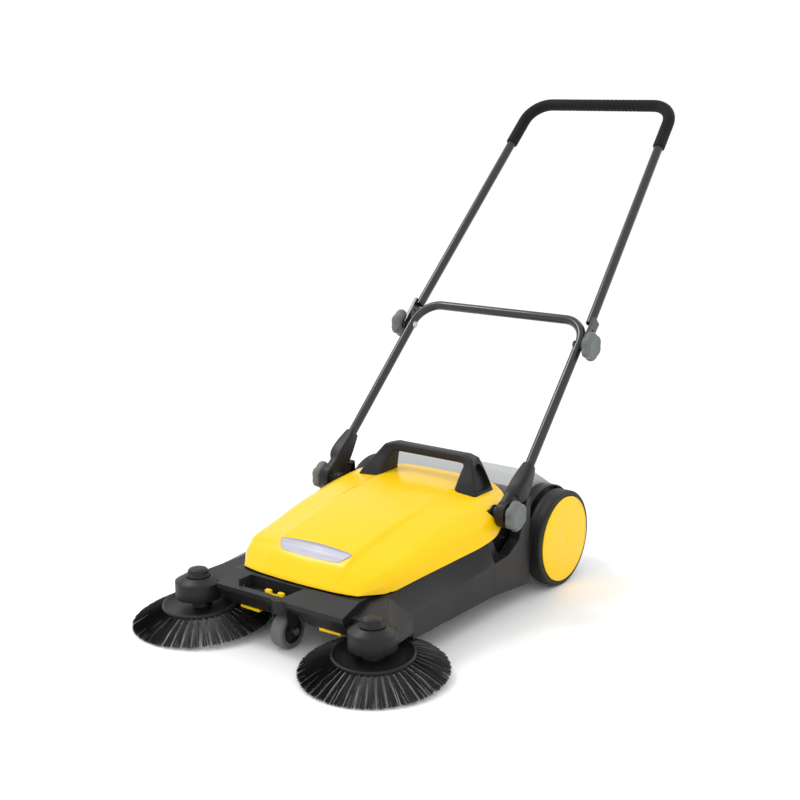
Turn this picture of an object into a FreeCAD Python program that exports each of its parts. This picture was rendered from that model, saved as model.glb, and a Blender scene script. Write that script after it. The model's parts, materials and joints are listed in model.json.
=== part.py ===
import FreeCAD, Part
import Sketcher
import math
import os

from FreeCAD import Placement, Rotation, Vector

# Walk-behind twin-brush push sweeper, millimetres.
# Origin: centre of the footprint on the floor. +Z up, -Y is the direction of travel, +X is the side
# whose wheel leads the roller. The push handle rises towards +Y.

doc = FreeCAD.newDocument("walk_behind_sweeper")
sheet = doc.addObject("Spreadsheet::Sheet", "Sizes")

DRIVING = {
    "wheel_radius": 98.3,
    "wheel_face": 249.7,
    "wheel_width": 38.0,
    "wheel_along": 67.8,
    "cap_radius": 87.3,
    "rim_radius": 84.0,
    "axle_radius": 6.0,
    "running_gap": 0.05,
    "gear_module": 2.0,
    "ring_teeth": 78.0,
    "pinion_teeth": 16.0,
    "gear_width": 10.0,
    "gear_inner_face": 210.0,
    "roller_height": 70.0,
    "roller_radius": 69.0,
    "roller_half": 172.0,
    "roller_core": 30.0,
    "shaft_radius": 5.0,
    "belt_radius": 2.0,
    "drive_belt_radius": 9.0,
    "brush_belt_radius": 13.0,
    "belt_plane": 200.0,
    "plate_inner": 184.0,
    "plate_thickness": 4.0,
    "arch_radius": 104.5,
    "brush_across": 204.5,
    "brush_along": -512.0,
    "brush_tip_radius": 135.0,
    "brush_tip_height": 10.6,
    "brush_ring_radius": 72.0,
    "brush_tilt_forward": 4.1,
    "brush_tilt_outward": 1.4,
    "cup_radius": 44.0,
    "cup_bottom": 57.0,
    "cup_bevel": 88.0,
    "cup_top": 97.0,
    "castor_radius": 34.0,
    "castor_width": 28.0,
    "castor_along": -503.0,
    "castor_trail": 12.0,
    "body_half": 230.0,
    "seam_along": -167.0,
    "front_along": -430.0,
    "deck_height": 114.0,
    "wall": 3.0,
    "hood_front": -482.0,
    "pivot_along": -109.7,
    "pivot_height": 190.9,
    "handle_rise": 45.5,
    "mid_distance": 401.8,
    "crossbar_distance": 460.0,
    "top_distance": 1059.7,
    "tube_radius": 9.75,
    "tube_wall": 1.5,
    "lower_leg_low": 224.6,
    "lower_leg_mid": 210.8,
    "upper_leg_mid": 218.2,
    "upper_leg_top": 183.3,
    "tube_bend": 55.0,
    "grip_radius": 13.5,
    "grip_leg": 125.0,
    "knob_radius": 31.0,
    "knob_depth": 22.0,
    "bolt_radius": 4.0,
    "bin_half": 176.0,
    "bin_floor": 34.2,
    "bin_top": 230.0,
    "bin_rear": 222.0,
}


class Size:
    """A length that carries both its value and the sheet expression that gives it."""

    def __init__(self, value, text=None):
        self.value = float(value)
        self.text = text or f"({self.value:.6g})"

    def join(self, other, sign, value):
        other = size(other)
        return Size(value(self.value, other.value), f"({self.text} {sign} {other.text})")

    def __add__(self, other):
        return self.join(other, "+", lambda a, b: a + b)

    def __sub__(self, other):
        return self.join(other, "-", lambda a, b: a - b)

    def __mul__(self, other):
        return self.join(other, "*", lambda a, b: a * b)

    def __truediv__(self, other):
        return self.join(other, "/", lambda a, b: a / b)

    def __rsub__(self, other):
        return size(other) - self

    __radd__ = __add__
    __rmul__ = __mul__

    def __neg__(self):
        return self * -1


def size(value):
    return value if isinstance(value, Size) else Size(value)


for row, (alias, amount) in enumerate(DRIVING.items(), start=1):
    sheet.set(f"A{row}", alias)
    sheet.set(f"B{row}", f"{amount}")
    sheet.setAlias(f"B{row}", alias)
doc.recompute()
D = {alias: Size(amount, f"Sizes.{alias}") for alias, amount in DRIVING.items()}

parts = []
SIDES = (("left", -1), ("right", 1))


# ---------------------------------------------------------------- helpers

def bind(item, name, value):
    item.setExpression(name, size(value).text)


def place(item, x, y, z, turn=None):
    """Put a sub-part in the frame, its position bound to the sheet."""
    item.Placement = Placement(Vector(0, 0, 0), turn or Rotation())
    for axis, value in zip("xyz", (x, y, z)):
        bind(item, f"Placement.Base.{axis}", value)


def new_body(label):
    body = doc.addObject("PartDesign::Body", label)
    body.Label = label
    parts.append(body)
    return body


def feature(label, shape):
    item = doc.addObject("Part::Feature", label)
    item.Label = label
    item.Shape = shape
    parts.append(item)
    return item


def grouped(label, *names):
    """Gather identical sub-parts into one group of separate solids."""
    members = [part for part in parts if part.Label in names]
    for member in members:
        parts.remove(member)
    group = doc.addObject("Part::Compound", label)
    group.Label = label
    group.Links = members
    parts.append(group)


def plane_of(body, role):
    return next(item for item in body.Origin.OriginFeatures if item.Role == role)


def new_sketch(body, plane, offset):
    sketch = body.newObject("Sketcher::SketchObject", f"{body.Label}_sketch")
    sketch.AttachmentSupport = [(plane_of(body, f"{plane}_Plane"), "")]
    sketch.MapMode = "FlatFace"
    bind(sketch, "AttachmentOffset.Base.z", offset)
    return sketch


def outline(body, plane, corners, offset=0):
    """A closed straight-sided sketch whose every corner is bound to the sheet."""
    sketch = new_sketch(body, plane, offset)
    corners = [(size(x), size(y)) for x, y in corners]
    count = len(corners)
    for index in range(count):
        start, end = corners[index], corners[(index + 1) % count]
        sketch.addGeometry(Part.LineSegment(Vector(start[0].value, start[1].value, 0),
                                            Vector(end[0].value, end[1].value, 0)))
    for index in range(count):
        sketch.addConstraint(Sketcher.Constraint("Coincident", index, 2, (index + 1) % count, 1))
    for index, corner in enumerate(corners):
        for kind, value in zip(("DistanceX", "DistanceY"), corner):
            if abs(value.value) < 1e-9:
                axis = -2 if kind == "DistanceX" else -1
                sketch.addConstraint(Sketcher.Constraint("PointOnObject", index, 1, axis))
            else:
                number = sketch.addConstraint(Sketcher.Constraint(kind, -1, 1, index, 1, value.value))
                sketch.setExpression(f"Constraints[{number}]", value.text)
    return sketch


def circles(body, plane, rings, offset=0):
    """A sketch of circles, each given as centre x, centre y and radius."""
    sketch = new_sketch(body, plane, offset)
    for index, ring in enumerate(rings):
        x, y, radius = (size(value) for value in ring)
        sketch.addGeometry(Part.Circle(Vector(x.value, y.value, 0), Vector(0, 0, 1), radius.value))
        number = sketch.addConstraint(Sketcher.Constraint("Radius", index, radius.value))
        sketch.setExpression(f"Constraints[{number}]", radius.text)
        for kind, value in (("DistanceX", x), ("DistanceY", y)):
            if abs(value.value) < 1e-9:
                axis = -2 if kind == "DistanceX" else -1
                sketch.addConstraint(Sketcher.Constraint("PointOnObject", index, 3, axis))
            else:
                number = sketch.addConstraint(Sketcher.Constraint(kind, -1, 1, index, 3, value.value))
                sketch.setExpression(f"Constraints[{number}]", value.text)
    return sketch


def volume(body):
    doc.recompute()
    return body.Shape.Volume if body.Tip and not body.Shape.isNull() else 0.0


def extrude(body, kind, sketch, length, back=False, middle=False):
    """Pad or pocket a sketch and make sure that it really adds or takes material."""
    before = volume(body)
    step = body.newObject(f"PartDesign::{kind}", f"{body.Label}_{kind.lower()}")
    step.Profile = sketch
    bind(step, "Length", length)
    step.Reversed = back
    step.Midplane = middle
    after = volume(body)
    gained = after - before if kind == "Pad" else before - after
    if gained < 1e-3:
        raise RuntimeError(f"{body.Label}: {kind} changes nothing ({before:.1f} to {after:.1f})")
    return step


def pad(body, plane, corners, length, offset=0, back=False, middle=False):
    return extrude(body, "Pad", outline(body, plane, corners, offset), length, back, middle)


def pocket(body, plane, corners, length, offset=0, back=False, middle=False):
    return extrude(body, "Pocket", outline(body, plane, corners, offset), length, back, middle)


def pad_rings(body, plane, rings, length, offset=0, back=False, middle=False):
    return extrude(body, "Pad", circles(body, plane, rings, offset), length, back, middle)


def bore(body, plane, rings, length, offset=0, back=False, middle=False):
    return extrude(body, "Pocket", circles(body, plane, rings, offset), length, back, middle)


def turned(body, corners, kind="Revolution"):
    """Turn a half profile, given as radius and height, about the body's own Z axis."""
    step = body.newObject(f"PartDesign::{kind}", f"{body.Label}_turned")
    sketch = outline(body, "XZ", corners)
    step.Profile = sketch
    step.ReferenceAxis = (sketch, ["V_Axis"])
    step.Angle = 360
    volume(body)
    return step


def lofted(body, sections, kind="AdditiveLoft"):
    """Ruled loft through cross-sections, each given as its Y and its X-Z corners."""
    before = volume(body)
    sketches = [outline(body, "XZ", corners, -size(along)) for along, corners in sections]
    step = body.newObject(f"PartDesign::{kind}", f"{body.Label}_loft")
    step.Profile = sketches[0]
    step.Sections = sketches[1:]
    step.Ruled = True
    if abs(volume(body) - before) < 1e-3:
        raise RuntimeError(f"{body.Label}: the loft changes nothing")
    return step


def mirror_corners(half):
    """Complete a right-hand half outline, listed bottom to top, with its left-hand half."""
    return list(half) + [(-size(x), z) for x, z in reversed(half)]


X_AXIS = Vector(1, 0, 0)
Z_AXIS = Vector(0, 0, 1)
TO_RIGHT = Rotation(Z_AXIS, X_AXIS)
TO_LEFT = Rotation(Z_AXIS, -X_AXIS)


def facing(side):
    """Rotation that points a turned body's Z axis outward on its side of the machine."""
    return TO_RIGHT if side > 0 else TO_LEFT


def bent_tube(points, bends, radius):
    """Solid round bar along straight runs joined by tangent arcs, in one piece."""
    points = [Vector(*point) for point in points]
    solids = []
    start = points[0]
    for index in range(1, len(points) - 1):
        corner = points[index]
        arriving = (corner - points[index - 1]).normalize()
        leaving = (points[index + 1] - corner).normalize()
        turn = arriving.getAngle(leaving)
        cut = bends[index - 1] * math.tan(turn / 2)
        arc_start = corner - arriving * cut
        solids.append(Part.makeCylinder(radius, (arc_start - start).Length, start, arriving))
        axis = arriving.cross(leaving).normalize()
        centre = arc_start + axis.cross(arriving).normalize() * bends[index - 1]
        disc = Part.Face(Part.Wire(Part.makeCircle(radius, arc_start, arriving)))
        solids.append(disc.revolve(centre, axis, math.degrees(turn)))
        start = corner + leaving * cut
    end = points[-1]
    solids.append(Part.makeCylinder(radius, (end - start).Length, start, (end - start).normalize()))
    return solids[0].fuse(solids[1:]).removeSplitter()


def closed_belt(points, bends, radius):
    """Closed round belt: straight runs joined by tangent arcs."""
    points = [Vector(*point) for point in points]
    count = len(points)
    cuts = []
    for index in range(count):
        arriving = (points[index] - points[index - 1]).normalize()
        leaving = (points[(index + 1) % count] - points[index]).normalize()
        turn = arriving.getAngle(leaving)
        cut = bends[index] * math.tan(turn / 2)
        cuts.append((arriving, leaving, turn, points[index] - arriving * cut, points[index] + leaving * cut))
    solids = []
    for index in range(count):
        arriving, leaving, turn, arc_start, arc_end = cuts[index]
        axis = arriving.cross(leaving).normalize()
        centre = arc_start + axis.cross(arriving).normalize() * bends[index]
        disc = Part.Face(Part.Wire(Part.makeCircle(radius, arc_start, arriving)))
        solids.append(disc.revolve(centre, axis, math.degrees(turn)))
        run = cuts[(index + 1) % count][3] - arc_end
        solids.append(Part.makeCylinder(radius, run.Length, arc_end, run.normalize()))
    return solids[0].fuse(solids[1:]).removeSplitter()


def involute_outline(teeth, module, tip, root, width, phase):
    """Points of an involute tooth outline; width is the tooth's share of the pitch."""
    pitch_radius = teeth * module / 2
    base = pitch_radius * math.cos(math.radians(20))
    involute = math.tan(math.radians(20)) - math.radians(20)
    half = math.pi / (2 * teeth) * width
    points = []
    for tooth in range(teeth):
        middle = phase + 2 * math.pi * tooth / teeth
        flank = []
        for step in range(5):
            radius = root + (tip - root) * step / 4
            pressure = math.acos(min(1.0, base / max(radius, base)))
            angle = half + involute - (math.tan(pressure) - pressure)
            flank.append((radius, max(angle, 0.1 * half)))
        for radius, angle in flank:
            points.append(Vector(radius * math.cos(middle - angle), radius * math.sin(middle - angle), 0))
        for radius, angle in reversed(flank):
            points.append(Vector(radius * math.cos(middle + angle), radius * math.sin(middle + angle), 0))
    return Part.Wire(Part.makePolygon(points + [points[0]]))


# ---------------------------------------------------------------- driven positions

wheel_x = D["wheel_face"]
wheel_y = D["wheel_along"]
wheel_z = D["wheel_radius"]
tyre_side = wheel_x - 2.7
tyre_inner = tyre_side - D["wheel_width"] + 3
plate_outer = D["plate_inner"] + D["plate_thickness"]

centre_distance = (DRIVING["ring_teeth"] - DRIVING["pinion_teeth"]) * DRIVING["gear_module"] / 2
roller_drop = DRIVING["wheel_radius"] - DRIVING["roller_height"]
roller_y = DRIVING["wheel_along"] - math.sqrt(centre_distance ** 2 - roller_drop ** 2)
roller_z = DRIVING["roller_height"]
mesh_angle = math.atan2(-roller_drop, roller_y - DRIVING["wheel_along"])


def brush_axis(side):
    """Unit vector of a side brush's spindle: it leans forward and a little outward."""
    forward = math.radians(DRIVING["brush_tilt_forward"])
    outward = math.radians(DRIVING["brush_tilt_outward"])
    return Vector(side * math.sin(outward), -math.sin(forward), 1).normalize()


def brush_point(side, height):
    """Point on a side brush's spindle, height above the plane of its bristle tips."""
    foot = Vector(side * DRIVING["brush_across"], DRIVING["brush_along"], DRIVING["brush_tip_height"])
    return foot + brush_axis(side) * height


def on_spindle(item, side, height):
    """Place a turned sub-part on a side brush's spindle."""
    point = brush_point(side, height)
    place(item, side * D["brush_across"] + (point.x - side * DRIVING["brush_across"]),
          D["brush_along"] + (point.y - DRIVING["brush_along"]),
          D["brush_tip_height"] + (point.z - DRIVING["brush_tip_height"]),
          Rotation(Z_AXIS, brush_axis(side)))


def along_handle(distance, lift=0):
    """Y and Z of a point on the handle plane, distance from the hinge along the legs."""
    rise = math.radians(DRIVING["handle_rise"])
    return (DRIVING["pivot_along"] + distance * math.cos(rise) - lift * math.sin(rise),
            DRIVING["pivot_height"] + distance * math.sin(rise) + lift * math.cos(rise))


HANDLE_TURN = Rotation(X_AXIS, DRIVING["handle_rise"])


# ---------------------------------------------------------------- chassis

def make_chassis_shell():
    """Black lower shell: open below, with the bumper, both brush heads and the castor boss."""
    body = new_body("chassis_shell")
    half, deck, wall = D["body_half"], D["deck_height"], D["wall"]
    rear, front = D["seam_along"], D["front_along"]
    castor_y = D["castor_along"] - D["castor_trail"]
    cup_along = D["brush_along"] - 7
    lofted(body, [
        (rear, mirror_corners([(half, 44), (half, 109), (half - 16, 146), (half - 33, deck)])),
        (front, mirror_corners([(half - 1, 46), (half - 1, 90), (half - 55, deck + 3), (half - 62, deck)])),
    ])
    # The deck falls away in front of the hood and the bumper's face undercuts.
    pad(body, "YZ", [(front, 54), (front, deck), (D["hood_front"], deck), (-530, 98), (-528, 88), (-500, 54)],
        300, middle=True)
    for _, side in SIDES:
        cup_across = side * (D["brush_across"] + 3)
        lofted(body, [
            (front, [(side * 120, 58), (side * (half - 1), 58), (side * (half - 1), 90),
                     (side * (half - 55), deck + 3), (side * 120, deck)]),
            (-505, [(side * 150, 64), (side * 246, 64), (side * 244, 80), (side * 232, 90),
                    (side * 150, 92)]),
        ])
        pad_rings(body, "XY", [(cup_across, cup_along, D["cup_radius"])],
                  D["cup_bevel"] - D["cup_bottom"], offset=D["cup_bottom"])
        cone(body, "AdditiveCone", cup_across, cup_along, D["cup_bevel"],
             D["cup_radius"], D["cup_radius"] - 16, D["cup_top"] - D["cup_bevel"])
    # Hollow underside.
    lofted(body, [
        (rear + 1, mirror_corners([(half - wall, 40), (half - wall, 106), (half - 12, deck - wall)])),
        (front - 4, mirror_corners([(half - 1 - wall, 40), (half - 1 - wall, 87), (half - 50, deck - wall)])),
    ], "SubtractiveLoft")
    pocket(body, "YZ", [(front, 50), (front, deck - wall), (D["hood_front"], deck - wall), (-525, 96),
                        (-524, 88), (-493, 50)], 294, middle=True)
    for _, side in SIDES:
        cup_across = side * (D["brush_across"] + 3)
        bore(body, "XY", [(cup_across, cup_along, D["cup_radius"] - wall)], D["cup_bevel"] - 50,
             offset=50, back=True)
        lofted(body, [
            (front + 2, [(side * 125, 50), (side * (half - 5), 50), (side * (half - 5), 86),
                         (side * 180, 108), (side * 125, 108)]),
            (-500, [(side * 154, 50), (side * 240, 50), (side * 238, 78), (side * 228, 86),
                    (side * 154, 88)]),
        ], "SubtractiveLoft")
        bore(body, "XY", [(side * (D["brush_across"] + 2.1), D["brush_along"] - 5.8, 10.2)],
             20, offset=D["cup_top"] - 15, back=True)
    # Castor boss, with room below it for the wheel to swivel.
    pad_rings(body, "XY", [(0, castor_y, 22)], 25, offset=74)
    cone(body, "SubtractiveCone", 0, castor_y, 40, 60, 36, 34)
    # Grip recess through the deck, reaching back to the hood's front edge, with a floor below it.
    pocket(body, "XY", [(-99, -487), (-97, -510), (-88, -520), (4, -520), (26, -487)], 24, offset=deck + 4)
    pad(body, "XY", [(-103, -486), (-101, -514), (-90, -525), (8, -525), (30, -486)], 2.6, offset=86)
    # Castor stem's bore, through the boss and the recess floor.
    bore(body, "XY", [(0, castor_y, 8.05)], 26, offset=73, back=True)
    return body


def cone(body, kind, x, y, z, low_radius, high_radius, height):
    """Add or take an upright cone, every size bound to the sheet."""
    before = volume(body)
    step = body.newObject(f"PartDesign::{kind}", f"{body.Label}_cone")
    step.Placement = Placement(Vector(0, 0, 0), Rotation())
    for name, value in (("Radius1", low_radius), ("Radius2", high_radius), ("Height", height),
                        ("Placement.Base.x", x), ("Placement.Base.y", y), ("Placement.Base.z", z)):
        bind(step, name, value)
    if abs(volume(body) - before) < 1e-3:
        raise RuntimeError(f"{body.Label}: the cone changes nothing")
    return step


def make_side_plate(name, side):
    """Inner frame plate that carries the axle and bearings, with the wheel arch along its rim."""
    body = new_body(f"side_plate_{name}")
    inner, flip = side * D["plate_inner"], side < 0
    arch = D["arch_radius"]
    pad_rings(body, "YZ", [(wheel_y, wheel_z, arch), (wheel_y, wheel_z, arch - 3)],
              207 - D["plate_inner"], offset=inner, back=flip)
    pocket(body, "YZ", [(-60, -20), (200, -20), (200, 92), (-60, 92)], 30, offset=inner, back=not flip)
    pad_rings(body, "YZ", [(wheel_y, wheel_z, arch - 1.5)], D["plate_thickness"], offset=inner, back=flip)
    pocket(body, "YZ", [(-60, -20), (200, -20), (200, 60), (-60, 60)], 30, offset=inner, back=not flip)
    pad(body, "YZ", [(-420, 60), (-420, 100), (-165, 108), (-140, 158), (-60, 178), (0, 176), (150, 120),
                     (166, 62), (150, 28), (0, 28), (-165, 60)], D["plate_thickness"], offset=inner,
        back=flip)
    bore(body, "YZ", [(wheel_y, wheel_z, D["axle_radius"] + 0.05), (roller_y, roller_z, 9.05)],
         30, offset=inner - side, back=not flip)
    bore(body, "YZ", [(-140, 130, 2.6), (-80, 130, 2.6)], 30, offset=inner - side, back=not flip)
    return body


def make_side_cover(name, side):
    """Black rear cover between the seam and the wheel, hollowed round the handle's hinge."""
    body = new_body(f"side_cover_{name}")
    inner, flip = side * 207.5, side < 0
    deep = D["body_half"] - 207.5
    pad(body, "YZ", [(-166.5, 44), (-166.5, 109), (-120, 112), (-80, 133), (-64, 171), (-54, 209), (-40, 213),
                     (-38, 200), (-38, 31)], deep, offset=inner, back=flip)
    pocket(body, "YZ", [(-170, 30), (-170, 105), (-118, 108.5), (-77, 131), (-61, 171), (-51, 206),
                        (-41, 206), (-41, 20)], deep - D["wall"], offset=inner, back=not flip)
    pad(body, "YZ", [(-166.5, 109), (-166.5, 145), (-146, 147), (-134, 124), (-120, 112)], 3.5, offset=inner,
        back=flip)
    return body


def make_hinge_bracket(name, side):
    """Upright lug on the side plate that holds the push handle's hinge bolt."""
    body = new_body(f"hinge_bracket_{name}")
    face = side * (plate_outer + 0.1)
    flip = side < 0
    pad(body, "YZ", [(-152, 114), (-68, 114), (-97, 180), (-122, 180)], 4, offset=face, back=flip)
    pad_rings(body, "YZ", [(D["pivot_along"], D["pivot_height"], 14)], 4, offset=face, back=flip)
    bore(body, "YZ", [(D["pivot_along"], D["pivot_height"], D["bolt_radius"]), (-140, 130, 2.6),
                      (-80, 130, 2.6)], 12, offset=face - side, back=not flip)
    return body


HOOD_SECTIONS = (
    # along, then (across, height) from the bottom edge over the shoulder to the raised middle panel
    (-482, ((136, 117.6), (134, 119), (120, 120), (96, 120.5), (88, 121))),
    (-450, ((164, 117.6), (162, 130), (150, 142), (96, 146), (88, 150))),
    (-430, ((171.5, 118.4), (169, 136.5), (156.5, 150), (96, 156.5), (88, 161.6))),
    (-410, ((177, 119.6), (174, 142), (162, 157), (96, 166), (88, 172))),
    (-345, ((187, 127), (182, 152), (165, 169), (98, 180), (88, 187))),
    (-261, ((200.5, 136.2), (193, 168), (165, 189), (100, 196), (90, 202))),
    (-167, ((213, 146.6), (206, 178), (165, 203), (101, 208), (90, 212))),
    (-110, ((206, 160), (200, 190), (165, 209), (102, 213), (90, 217))),
    (-50, ((177, 202), (175, 206), (165, 209), (102, 215), (90, 218))),
    (-10, ((131, 208), (129, 211), (122, 213), (100, 216), (90, 218))),
)


def make_hood():
    """Yellow hood: a thin shell over the deck, with a raised middle panel."""
    body = new_body("hood")
    wall = DRIVING["wall"]
    lofted(body, [(along, mirror_corners(half)) for along, half in HOOD_SECTIONS])
    inside = []
    for along, half in HOOD_SECTIONS[1:-1]:
        low, height = half[0]
        corners = [(low - wall, height - 1)] + [(x - wall, z - wall) for x, z in half[1:]]
        inside.append((along, mirror_corners(corners)))
    lofted(body, inside, "SubtractiveLoft")
    # Round reliefs that leave room for the push handle's hinge on both sides.
    for _, side in SIDES:
        bore(body, "YZ", [(D["pivot_along"], D["pivot_height"], 19.5)], 40, offset=side * 184.5,
             back=side > 0)


def make_carry_handle():
    """Black carrying handle over the hood's rear edge; it leans back and its feet spread."""
    body = new_body("carry_handle")
    pad(body, "XZ", [(-146, 212.6), (-144, 219), (-106, 273), (-100, 276.5), (100, 276.5), (106, 273),
                     (144, 219), (146, 212.6), (101, 217), (88, 219.5), (76, 258), (-76, 258), (-88, 219.5),
                     (-101, 217)], 90, offset=110, back=True)
    pocket(body, "YZ", [(-111, 200), (-107, 212), (-67, 262), (-62, 280), (-120, 280)], 320, middle=True)
    pocket(body, "YZ", [(-19, 200), (-34, 214), (-30, 270), (-36, 280), (-10, 280)], 320, middle=True)
    return body


def make_badge():
    """Blank silver badge plate with bowed long edges, lying on the hood's front slope."""
    body = new_body("badge")
    pad(body, "XY", [(-84, 13), (-42, 19), (42, 19), (84, 13), (68, -12), (34, -16), (-34, -16),
                     (-68, -12)], 1.5)
    place(body, 0, -429, 163.0, Rotation(X_AXIS, 28.5))
    return body


def make_hood_latch():
    """Yellow latch: a thin bar with two tongues that show in the grip recess."""
    body = new_body("hood_latch")
    pad(body, "XY", [(-39, -519), (3, -519), (3, -515.5), (-39, -515.5)], 2, offset=99.4)
    for across in (-39, -9):
        pad(body, "XY", [(across, -519), (across + 12, -519), (across + 12, -512), (across, -512)], 7.6,
            offset=99.4)
    return body


def make_front_strip(name, side):
    """Yellow scraper strip under the bumper's lower edge."""
    body = new_body(f"front_strip_{name}")
    pad(body, "XY", [(side * 72, -500), (side * 120, -498), (side * 120, -488), (side * 72, -488)], 5.8,
        offset=48)
    return body


# ---------------------------------------------------------------- wheels and drive

def on_wheel(item, side):
    place(item, 0, wheel_y, wheel_z, facing(side))


def on_roller(item, side=1):
    place(item, 0, roller_y, roller_z, facing(side))


def make_wheel(name, side):
    """Tyre, rim, drive ring, bush and yellow disc of one rear wheel; heights run outward from the middle."""
    radius, rim, cap = D["wheel_radius"], D["rim_radius"], D["cap_radius"]
    tyre = new_body(f"wheel_tyre_{name}")
    turned(tyre, [(rim + 0.1, tyre_inner), (radius - 6, tyre_inner), (radius - 1.5, tyre_inner + 2),
                  (radius, tyre_inner + 6), (radius, tyre_side - 3), (radius - 2, tyre_side),
                  (rim + 0.1, tyre_side)])
    on_wheel(tyre, side)
    wheel = new_body(f"wheel_rim_{name}")
    turned(wheel, [(8, 212), (14, 212), (14, 224), (rim - 4, 224), (rim - 4, 220.6), (rim, 220.6), (rim, 243),
                   (rim - 3, 243), (rim - 3, 228), (14, 228), (14, 241), (8, 241)])
    on_wheel(wheel, side)
    disc = new_body(f"wheel_disc_{name}")
    turned(disc, [(0, 243.2), (rim - 3.2, 243.2), (rim - 3.2, tyre_side + 0.1), (cap, tyre_side + 0.1),
                  (cap, wheel_x - 1), (cap - 1.4, wheel_x), (0, wheel_x)])
    on_wheel(disc, side)
    bush = new_body(f"wheel_bush_{name}")
    turned(bush, [(D["axle_radius"] + D["running_gap"], 212.2), (7.95, 212.2), (7.95, 240.8),
                  (D["axle_radius"] + D["running_gap"], 240.8)])
    on_wheel(bush, side)


def make_gears(name, side):
    """Internal drive ring in the wheel and the pinion that it turns."""
    module = DRIVING["gear_module"]
    ring_teeth, pinion_teeth = int(DRIVING["ring_teeth"]), int(DRIVING["pinion_teeth"])
    pitch = ring_teeth * module / 2
    spaces = involute_outline(ring_teeth, module, pitch + 2.2, pitch - 1.7, 1.12, mesh_angle)
    blank = Part.makeCylinder(DRIVING["rim_radius"], DRIVING["gear_width"])
    ring = blank.cut(Part.Face(spaces).extrude(Vector(0, 0, DRIVING["gear_width"])))
    pitch = pinion_teeth * module / 2
    teeth = involute_outline(pinion_teeth, module, pitch + 1.7, pitch - 2.3, 0.86, mesh_angle)
    hole = Part.makeCylinder(DRIVING["shaft_radius"] + DRIVING["running_gap"], DRIVING["gear_width"])
    pinion = Part.Face(teeth).extrude(Vector(0, 0, DRIVING["gear_width"])).cut(hole)
    turn = Rotation(Vector(0, 1, 0), Vector(0, 0, 1), Vector(1, 0, 0), "ZXY")
    start = DRIVING["gear_inner_face"] if side > 0 else -DRIVING["gear_inner_face"] - DRIVING["gear_width"]
    item = feature(f"drive_ring_{name}", ring)
    item.Placement = Placement(Vector(start, wheel_y.value, wheel_z.value), turn)
    item = feature(f"pinion_{name}", pinion)
    item.Placement = Placement(Vector(start, roller_y, roller_z), turn)


def make_axle(name, side):
    """Fixed stub axle with its collar, nut and end clip."""
    radius = D["axle_radius"]
    axle = new_body(f"wheel_axle_{name}")
    turned(axle, [(0, 180.5), (radius, 180.5), (radius, plate_outer + 0.05), (9, plate_outer + 0.05),
                  (9, 211.8), (radius, 211.8), (radius, 242.8), (0, 242.8)])
    on_wheel(axle, side)
    clip = new_body(f"axle_clip_{name}")
    turned(clip, [(radius, 241.3), (9.5, 241.3), (9.5, 242.5), (radius, 242.5)])
    on_wheel(clip, side)


def make_axle_nuts():
    """Hexagon nuts on the inner ends of both stub axles."""
    for name, side in SIDES:
        hexagon = doc.addObject("Part::Prism", f"nut_blank_{name}")
        hexagon.Polygon = 6
        bind(hexagon, "Circumradius", D["axle_radius"] + 4)
        hexagon.Height = 3.4
        hole = doc.addObject("Part::Cylinder", f"nut_hole_{name}")
        bind(hole, "Radius", D["axle_radius"] + 0.02)
        hole.Height = 3.4
        nut = doc.addObject("Part::Cut", f"axle_nut_{name}")
        nut.Base, nut.Tool = hexagon, hole
        place(nut, side * (D["plate_inner"] - 3.45), wheel_y, wheel_z, facing(side))
        parts.append(nut)


def make_roller():
    """Main brush: shaft, core tube and bristle strips."""
    shaft = new_body("roller_shaft")
    turned(shaft, [(0, -222), (D["shaft_radius"], -222), (D["shaft_radius"], 222), (0, 222)])
    on_roller(shaft)
    core, half, inner = D["roller_core"], D["roller_half"], D["shaft_radius"] + 0.05
    tube = new_body("roller_core")
    turned(tube, [(inner, -half), (core, -half), (core, half), (inner, half), (inner, half - 4),
                  (core - 3, half - 4), (core - 3, 4 - half), (inner, 4 - half)])
    on_roller(tube)
    strips = new_body("roller_bristles")
    strips.AllowCompound = True
    pad(strips, "XY", [(core + 0.4, -4), (D["roller_radius"] - 0.5, -6), (D["roller_radius"] - 0.5, 6),
                       (core + 0.4, 4)], 2 * half - 4, middle=True)
    pattern = strips.newObject("PartDesign::PolarPattern", "roller_strips")
    pattern.Originals = [strips.Tip]
    pattern.Axis = (plane_of(strips, "Z_Axis"), [""])
    pattern.Angle = 360
    pattern.Occurrences = 8
    strips.Tip = pattern
    doc.recompute()
    on_roller(strips)


def make_roller_ends(name, side):
    """Bearing in the side plate and the belt pulley outside it."""
    inner = D["shaft_radius"] + D["running_gap"]
    bearing = new_body(f"roller_bearing_{name}")
    turned(bearing, [(inner, 183.2), (9, 183.2), (9, 188.2), (11, 188.2), (11, 190), (inner, 190)])
    on_roller(bearing, side)
    pulley = new_body(f"drive_pulley_{name}")
    groove = D["drive_belt_radius"] - D["belt_radius"] - 0.6
    middle = D["belt_plane"]
    turned(pulley, [(inner, middle - 6), (12, middle - 6), (12, middle - 4), (groove, middle - 2.9),
                    (groove, middle + 2.9), (12, middle + 4), (12, middle + 6), (inner, middle + 6)])
    on_roller(pulley, side)


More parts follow.
